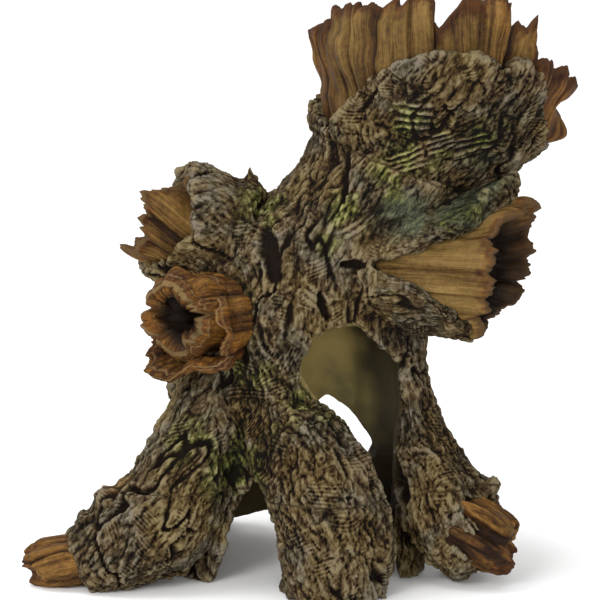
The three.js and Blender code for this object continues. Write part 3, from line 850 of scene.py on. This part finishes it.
BRANCH_TUBE = dict(
    COMMON, start=9, flare=[(0, 22), (30, 23), (55, 25), (78, 29)], wall=5.5,
    rim=[
        (-180, 78), (-140, 80), (-100, 85), (-74, 86), (-56, 75), (-42, 72), (-26, 74), (-8, 75), (14, 72),
        (32, 71), (50, 63), (66, 64), (84, 60), (110, 65), (140, 73),
    ],
    lumps=[(-64, 74, 12, 14, 2.0), (-84, 78, 26, 13, 5.0), (76, 56, 24, 11, 9.5)],
    lumpy=1.5, bites=1.5, thin=0.6, planks=12, seed=8, ragged=1.4, notch=4.2, domed=2.0, taper=18,
    swing=1.2, hump=2.0, groove=1.6, inset=0.6, dark=(62, 92), pale=0.15, shade=0.25, lower=0.6,
    orange=[(-180, 0.8), (-110, 0.7), (-70, 0.1), (60, 0.1), (110, 0.7), (180, 0.8)],
)
KNOT_TUBE = dict(
    COMMON, start=5, flare=[(0, 13), (20, 17), (34, 19), (46, 18)], wall=10.3,
    rim=[
        (-180, 43), (-150, 45), (-128, 41), (-104, 39), (-84, 36), (-56, 38), (-20, 36), (20, 37),
        (56, 41), (90, 44), (120, 41), (150, 44),
    ],
    lumps=[(-80, 33, 30, 5, 2.5), (110, 36, 30, 6, 2.5), (170, 40, 26, 6, 2.0), (20, 28, 30, 6, 2.0)],
    lumpy=2.6, brow=3, bites=2.0, thin=0.95, planks=9, seed=5, ragged=1.4, notch=2.8, domed=1.4, taper=8,
    swing=1.6, hump=1.8, groove=1.3, inset=0.4, dark=(37, 47), step=0.7, pale=0.5, shade=-0.1, lower=0.9,
    orange=level(0.95),
)
KNOT_PETALS = dict(
    COMMON, start=11, flare=[(10, 22), (20, 23), (30, 25), (44, 27)], wall=5.6,
    rim=[
        (-180, 33), (-150, 37), (-128, 43), (-110, 46), (-94, 41), (-78, 43), (-58, 37), (-34, 30),
        (-8, 29), (14, 33), (34, 31), (52, 26), (80, 24), (110, 27), (150, 31),
    ],
    lumps=[(6, 30, 22, 5, 3.5), (-66, 32, 12, 9, -3.0), (-100, 38, 16, 6, 2.5), (-40, 22, 30, 6, 2.0)],
    lumpy=2.4, brow=2, bites=2.0, thin=0.7, planks=8, seed=21, ragged=1.4, notch=3.4, domed=2.0, taper=8,
    swing=1.8, hump=2.0, groove=1.6, inset=0.8, dark=(12, 30), pale=0.5, shade=-0.2, lower=0.9,
    orange=level(0.95),
)
STUB_TUBE = dict(
    COMMON, start=9, flare=[(0, 23), (30, 22), (60, 25)], wall=6,
    rim=[
        (-180, 48), (-120, 50), (-90, 57), (-60, 50), (-30, 53), (0, 61), (25, 64), (40, 57), (55, 47),
        (80, 41), (120, 42),
    ],
    lumpy=1.2, bites=2.5, thin=0.42, planks=9, seed=11, ragged=2.0, notch=5.0, domed=1.4, taper=16,
    swing=1.4, hump=1.5, groove=1.8, inset=0.6, dark=(20, 60), pale=0.2, shade=-0.2, lower=0.8,
    lean=[(-180, 0), (-100, -0.006), (0, -0.014), (60, -0.012), (130, 0), (180, 0)], orange=level(0.35),
)


# ---------- bare wood of the roots ----------
ROOT_VOXEL = 0.8 * MM
ROOT_GROWTH = 0.2 * MM
TORN = 14 * MM  # how far back from the end the fibres are torn
RED_END = 25 * MM  # how far back the paint of the rim fades


def root_wood(name, along, seed, shade):
    """The CAD solid's form with fibres along one direction."""
    mesh = remeshed(name, [name], ROOT_GROWTH, ROOT_VOXEL)
    e = edges(mesh)
    co = averaged(coordinates(mesh), e, 5)
    set_coordinates(mesh, co)
    n = averaged(normals(mesh), e, 4)
    n /= np.linalg.norm(n, axis=1)[:, None]
    d = unit(along)
    across = unit(np.cross(d, [0.2, 1.0, 0.1]))
    q = (co / MM) @ np.stack([across, np.cross(d, across), d]).T
    q = q + 0.8 * value_noise(q / (9, 9, 30), seed)[:, None] * np.array([1, 1, 0])
    coarse = np.minimum(np.abs(value_noise(q / (6, 6, 120), seed + 1)), 0.4)
    middle = np.minimum(np.abs(value_noise(q / (2.2, 2.2, 34), seed + 2)), 0.5)
    fine = value_noise(q / (1.1, 1.1, 16), seed + 3)
    grain = 7.0 * coarse + 1.6 * middle + 0.3 * fine - 2.2
    co = co + n * (grain * MM)[:, None]
    # the far end is torn: fibres end at different lengths
    before_end = (co @ d).max() - co @ d
    torn = 2.5 * step(-0.5, 0.6, value_noise(q / (3.4, 3.4, 400), seed + 5))
    torn += 5.0 * step(-0.4, 0.4, value_noise(q / (6.5, 6.5, 400), seed + 6))
    co = co - np.multiply.outer(torn * (1 - step(0, TORN, before_end)) * MM, d)
    co[:, 2] = np.maximum(co[:, 2], 0)
    set_coordinates(mesh, co)
    mesh.shade_smooth()
    store(
        mesh, grain=0.75 * grain, left=before_end / RED_END, lit=1, pale=0, orange=0.7,
        tone=0.4 * value_noise(q / (7, 7, 60), seed + 4) + shade * 4,
    )
    store_vector(mesh, "fibre", q * (1, 1, FIBRE_STRETCH))
    return mesh


# ---------- materials ----------
def linear(*srgb):
    """An 8-bit sRGB colour as linear values."""
    return [((c / 255 + 0.055) / 1.055) ** 2.4 if c > 10 else c / 255 / 12.92 for c in srgb] + [1.0]


MIDDLE_TONE = 0.46
FIVE = (0, 0.25, 0.5, 0.75, 1)
FOUR = (0, 0.3, 0.6, 1)


class Paint:
    """A material's node tree, built with short calls."""

    def __init__(self, name):
        self.material = bpy.data.materials.new(name)
        self.material.use_nodes = True
        self.tree = self.material.node_tree
        self.tree.nodes.clear()
        self.shader = self.node("ShaderNodeBsdfPrincipled")
        self.feed(self.node("ShaderNodeOutputMaterial"), {"Surface": self.shader.outputs["BSDF"]})
        self.place = self.node("ShaderNodeTexCoord").outputs["Object"]

    def node(self, kind, **settings):
        node = self.tree.nodes.new(kind)
        for key, value in settings.items():
            setattr(node, key, value)
        return node

    def feed(self, node, values):
        """Gives a node's inputs, by name or number, another node's output or a constant."""
        for key, value in values.items():
            if hasattr(value, "is_output"):
                self.tree.links.new(value, node.inputs[key])
            else:
                node.inputs[key].default_value = value

    def attributes(self, names, output="Fac"):
        nodes = [self.node("ShaderNodeAttribute", attribute_name=name) for name in names.split()]
        return [node.outputs[output] for node in nodes]

    def times(self, a, b):
        return self.math("MULTIPLY", a, b)

    def plus(self, first, *others):
        for other in others:
            first = self.math("ADD", first, other)
        return first

    def tone(self, *terms):
        """Shade of the paint, from the deepest washes and painted shade (0) to the highest dry brushing and
        painted light (1).
        """
        return self.math("ADD", self.plus(*terms), MIDDLE_TONE, clamp=True)

    def speckle(self, value, strength):
        """A noise value moved to swing about zero."""
        return self.times(self.math("SUBTRACT", value, 0.5), strength)

    def noise(self, scale, detail=3.0, rough=0.6, source=None):
        """Noise with features of about 1/scale, in metres or in the source's units."""
        node = self.node("ShaderNodeTexNoise")
        place = source or self.place
        self.feed(node, {"Vector": place, "Scale": scale, "Detail": detail, "Roughness": rough})
        return node.outputs["Fac"]

    def math(self, operation, a, b=0.0, clamp=False):
        node = self.node("ShaderNodeMath", operation=operation, use_clamp=clamp)
        self.feed(node, {0: a, 1: b})
        return node.outputs[0]

    def span(self, value, low, high, to_low=0.0, to_high=1.0):
        """A smooth change from to_low to to_high as the value goes from low to high."""
        node = self.node("ShaderNodeMapRange", interpolation_type="SMOOTHSTEP")
        self.feed(node, {"Value": value, "From Min": low, "From Max": high})
        self.feed(node, {"To Min": to_low, "To Max": to_high})
        return node.outputs["Result"]

    def shades(self, value, places, *colours):
        """A ramp through 8-bit sRGB colours at some places."""
        node = self.node("ShaderNodeValToRGB")
        elements = node.color_ramp.elements
        while len(elements) < len(places):
            elements.new(0.5)
        for element, place, srgb in zip(elements, places, colours):
            element.position = place
            element.color = linear(*srgb)
        self.feed(node, {"Fac": value})
        return node.outputs["Color"]

    def mix(self, share, a, b):
        """Two colours mixed: only a at share 0, only b at share 1."""
        node = self.node("ShaderNodeMix", data_type="RGBA")
        self.feed(node, {0: share, 6: a, 7: b})
        return node.outputs[2]

    def bump(self, height, distance, strength, under=None):
        node = self.node("ShaderNodeBump")
        self.feed(node, {"Height": height, "Distance": distance, "Strength": strength})
        if under is not None:
            self.feed(node, {"Normal": under})
        return node.outputs["Normal"]

    def finish(self, colour, roughness, normal, specular):
        self.feed(self.shader, {"Base Color": colour, "Roughness": roughness, "Normal": normal})
        self.feed(self.shader, {"Specular IOR Level": specular})
        return self.material


def bark_material():
    """Dark washes and painted shade in the cracks and broad hollows, brown-grey body, pale dry brushing on
    high grains, painted light on broad bulges, moss green patches, a cave lining with painted light and
    shade.
    """
    p = Paint("bark")
    fine, broad, furrow, moss, lichen, bare, wash, bar, across, plate, lining, dusk = p.attributes(
        "fine broad furrow moss lichen bare wash bar stripe plate lining dusk")
    flow, = p.attributes("flow", "Vector")
    streak = p.noise(0.62, 3, 0.7, flow)
    thin = p.noise(1.5, 2, 0.6, flow)
    grit = p.noise(430, 4, 0.75)
    patch = p.noise(34)
    phase = p.plus(p.times(across, 2 * math.pi / STRIPE_PITCH), p.times(streak, 3.0))
    stripe = p.times(p.math("SINE", phase), p.times(plate, 0.5))
    # painted shade in broad hollows and painted light on broad bulges; the dark washes are partly painted
    # shade; furrows and gouges get painted shade
    tone = p.tone(
        p.times(fine, 0.6), p.times(broad, 0.14), p.speckle(streak, 1.6), p.speckle(thin, 0.6),
        p.speckle(grit, 1.1), p.speckle(patch, 1.4), p.times(stripe, 0.38), p.times(bar, 0.3),
        p.times(wash, -0.3), p.times(furrow, -0.6),
    )
    brown = p.shades(tone, FIVE, (10, 5, 2), (36, 24, 10), (68, 54, 34), (92, 79, 57), (116, 103, 78))
    grey = p.shades(tone, FIVE, (9, 6, 3), (34, 28, 17), (64, 57, 41), (88, 80, 66), (112, 104, 90))
    umber = p.shades(tone, FIVE, (12, 6, 1), (40, 26, 8), (75, 59, 31), (96, 81, 50), (116, 102, 70))
    green = p.shades(tone, FIVE, (10, 10, 3), (36, 36, 13), (66, 67, 28), (98, 97, 48), (138, 134, 86))
    teal = p.shades(tone, FOUR, (24, 24, 16), (48, 52, 40), (72, 79, 60), (104, 107, 78))
    tan = p.shades(tone, (0, 0.5, 1), (50, 28, 10), (96, 71, 40), (136, 110, 74))
    colour = p.mix(p.span(p.noise(75), 0.42, 0.62), brown, grey)
    colour = p.mix(p.span(p.noise(26), 0.48, 0.62, 0.0, 0.8), colour, umber)
    colour = p.mix(p.times(lichen, 0.85), colour, teal)
    colour = p.mix(p.math("MULTIPLY", moss, 0.8, clamp=True), colour, green)
    colour = p.mix(p.times(bare, 0.8), colour, tan)
    # painted shade: furrows and gouges are painted near black, as if they were deeper than the relief
    colour = p.mix(p.times(furrow, 0.75), colour, linear(20, 11, 5))
    # the cave's lining: its colours are raised as painted light inside the cave, with painted shade at the
    # right and low down
    cave = p.shades(p.noise(40), (0.3, 0.5, 0.7), (130, 118, 80), (166, 147, 90), (178, 157, 97))
    cave = p.mix(p.times(dusk, 0.9), cave, linear(54, 51, 40))
    place = p.node("ShaderNodeSeparateXYZ")
    p.feed(place, {0: p.place})
    cave = p.mix(p.span(place.outputs["Z"], 0.036, 0.078, 0.9, 0.0), cave, linear(26, 20, 12))
    colour = p.mix(lining, colour, cave)
    relief = p.plus(streak, p.times(thin, 0.5), p.times(stripe, 0.4))
    relief = p.times(relief, p.math("SUBTRACT", 1.0, p.times(lining, 0.9)))
    normal = p.bump(relief, 0.002, 0.7)
    normal = p.bump(p.noise(850, 4, 0.75), 0.0009, 0.6, normal)
    return p.finish(colour, p.span(grit, 0.3, 0.7, 0.72, 0.92), normal, 0.1)


def wood_material():
    """Tan fibres, orange-brown between the planks and dark ragged ends."""
    p = Paint("heartwood")
    grain, left, lit, shade, pale, orange = p.attributes("grain left lit tone pale orange")
    run, = p.attributes("fibre", "Vector")
    speck = p.noise(420, 4, 0.7)
    patch = p.noise(45)
    fibres = p.noise(0.62, 4, 0.7, run)
    tone = p.tone(
        p.times(grain, 0.27), p.times(shade, 0.08), p.speckle(fibres, 1.1),
        p.speckle(p.noise(1.7, 2, 0.6, run), 0.6), p.speckle(speck, 0.7), p.speckle(patch, 0.7),
    )
    tan = p.shades(tone, FIVE, (34, 18, 5), (70, 49, 18), (94, 73, 36), (109, 87, 48), (126, 104, 64))
    red = p.shades(tone, FOUR, (18, 6, 2), (50, 24, 7), (84, 50, 18), (120, 84, 42))
    amber = p.shades(tone, FOUR, (22, 8, 2), (62, 32, 6), (106, 67, 19), (156, 117, 55))
    tan = p.mix(p.times(orange, p.span(patch, 0.3, 0.6, 0.6, 1.0)), tan, amber)
    rim = p.span(p.plus(left, p.speckle(patch, 0.8)), 0.0, 0.3)
    rim = p.math("MAXIMUM", rim, p.times(pale, 0.5))
    colour = p.mix(rim, red, tan)
    dark_end = p.mix(p.times(speck, 0.7), linear(26, 12, 4), linear(96, 60, 26))
    end_colour = p.mix(pale, dark_end, p.mix(speck, linear(100, 76, 36), linear(160, 138, 92)))
    end = p.span(p.plus(left, p.speckle(speck, 0.5)), -0.06, 0.14)
    colour = p.mix(end, end_colour, colour)
    colour = p.mix(lit, linear(20, 10, 3), colour)
    relief = p.bump(fibres, 0.0009, 0.6)
    relief = p.bump(speck, 0.0009, 0.6, relief)
    return p.finish(colour, p.span(speck, 0.3, 0.7, 0.6, 0.8), relief, 0.15)


# ---------- assembly ----------
MATERIALS = {"bark": bark_material(), "heartwood": wood_material()}


def show(name, mesh, slot):
    """A finished piece that stands for the CAD node of the same name."""
    mesh.materials.clear()
    mesh.materials.append(MATERIALS[slot])
    piece = new_object(name + "_visual", mesh)
    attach(piece, "root")
    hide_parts(name)


TUBES = {
    "snag_heartwood_crown": (SNAG, SNAG_TUBE),
    "branch_heartwood": (BRANCH, BRANCH_TUBE),
    "knot_petal_collar": (KNOT, KNOT_PETALS),
    "knot_heartwood": (KNOT_HOLE, KNOT_TUBE),
    "stub_heartwood": (STUB, STUB_TUBE),
}
# The fibres' direction, the noise seed and the shade of each root's bare wood.
ROOT_WOODS = {
    "left_root_heartwood": ([-1, 0.12, -0.25], 200, -0.4),
    "right_root_heartwood": ([0.83, -0.15, -0.52], 220, -0.6),
}

for name, mesh in divided(bark_skin()).items():
    show(name, mesh, "bark")
for name, (axis, spec) in TUBES.items():
    show(name, PlankTube(axis, spec).mesh(name), "heartwood")
for name, settings in ROOT_WOODS.items():
    show(name, root_wood(name, *settings), "heartwood")


# ---------- floor, light and camera ----------
FLOOR = 12  # metres from the middle to each edge
FLOOR_GAP = 0.3 * MM
LENS = 300  # long and from far away, for little perspective
SENSOR = 36
# Lamps: name, place, target, size and power.
LAMPS = [
    ("key", (-0.9, -1.9, 1.1), (0, 0, 0.12), 1.0, 29),
    ("front", (0.15, -2.1, 0.5), (0.01, 0, 0.1), 0.6, 10),
    ("top", (-0.6, 0.1, 1.6), (0, 0, 0.12), 1.0, 11),
]


def floor():
    paint = Paint("floor")
    shade = paint.mix(paint.noise(6, 2), (0.93, 0.93, 0.93, 1), (0.96, 0.96, 0.96, 1))
    paint.feed(paint.shader, {"Base Color": shade, "Roughness": 0.9})
    corners = [(-FLOOR, -FLOOR, 0), (FLOOR, -FLOOR, 0), (FLOOR, FLOOR, 0), (-FLOOR, FLOOR, 0)]
    mesh = mesh_from("floor", corners, [(0, 1, 2, 3)])
    mesh.materials.append(paint.material)
    plane = new_object("floor", mesh)
    plane.location.z = -FLOOR_GAP


def softbox(name, place, target, size, power):
    data = bpy.data.lights.new(name, "AREA")
    data.shape = "DISK"
    data.size = size
    data.energy = power
    lamp = new_object(name, data)
    lamp.location = place
    lamp.rotation_euler = (Vector(target) - Vector(place)).to_track_quat("-Z", "Y").to_euler()


def world(strength):
    scene = bpy.context.scene
    scene.world = bpy.data.worlds.new("studio")
    scene.world.use_nodes = True
    background = scene.world.node_tree.nodes["Background"]
    background.inputs["Color"].default_value = (1, 1, 1, 1)
    background.inputs["Strength"].default_value = strength


def camera(target, elevation, width):
    """Looks at the target from some degrees above, with a view of that width there."""
    data = bpy.data.cameras.new("camera")
    data.lens = LENS
    data.sensor_width = SENSOR
    eye = new_object("camera", data)
    distance = width * LENS / SENSOR
    tilt = math.radians(elevation)
    back = Vector((0, -math.cos(tilt), math.sin(tilt)))
    eye.location = Vector(target) + back * distance
    eye.rotation_euler = (-back).to_track_quat("-Z", "Y").to_euler()
    data.clip_end = 100
    bpy.context.scene.camera = eye


floor()
world(1.0)
for lamp in LAMPS:
    softbox(*lamp)
camera(target=(SHIFT[0] * MM + 0.0011, 0.0, 0.1264), elevation=11, width=0.282)
bpy.context.scene.view_settings.view_transform = "Standard"
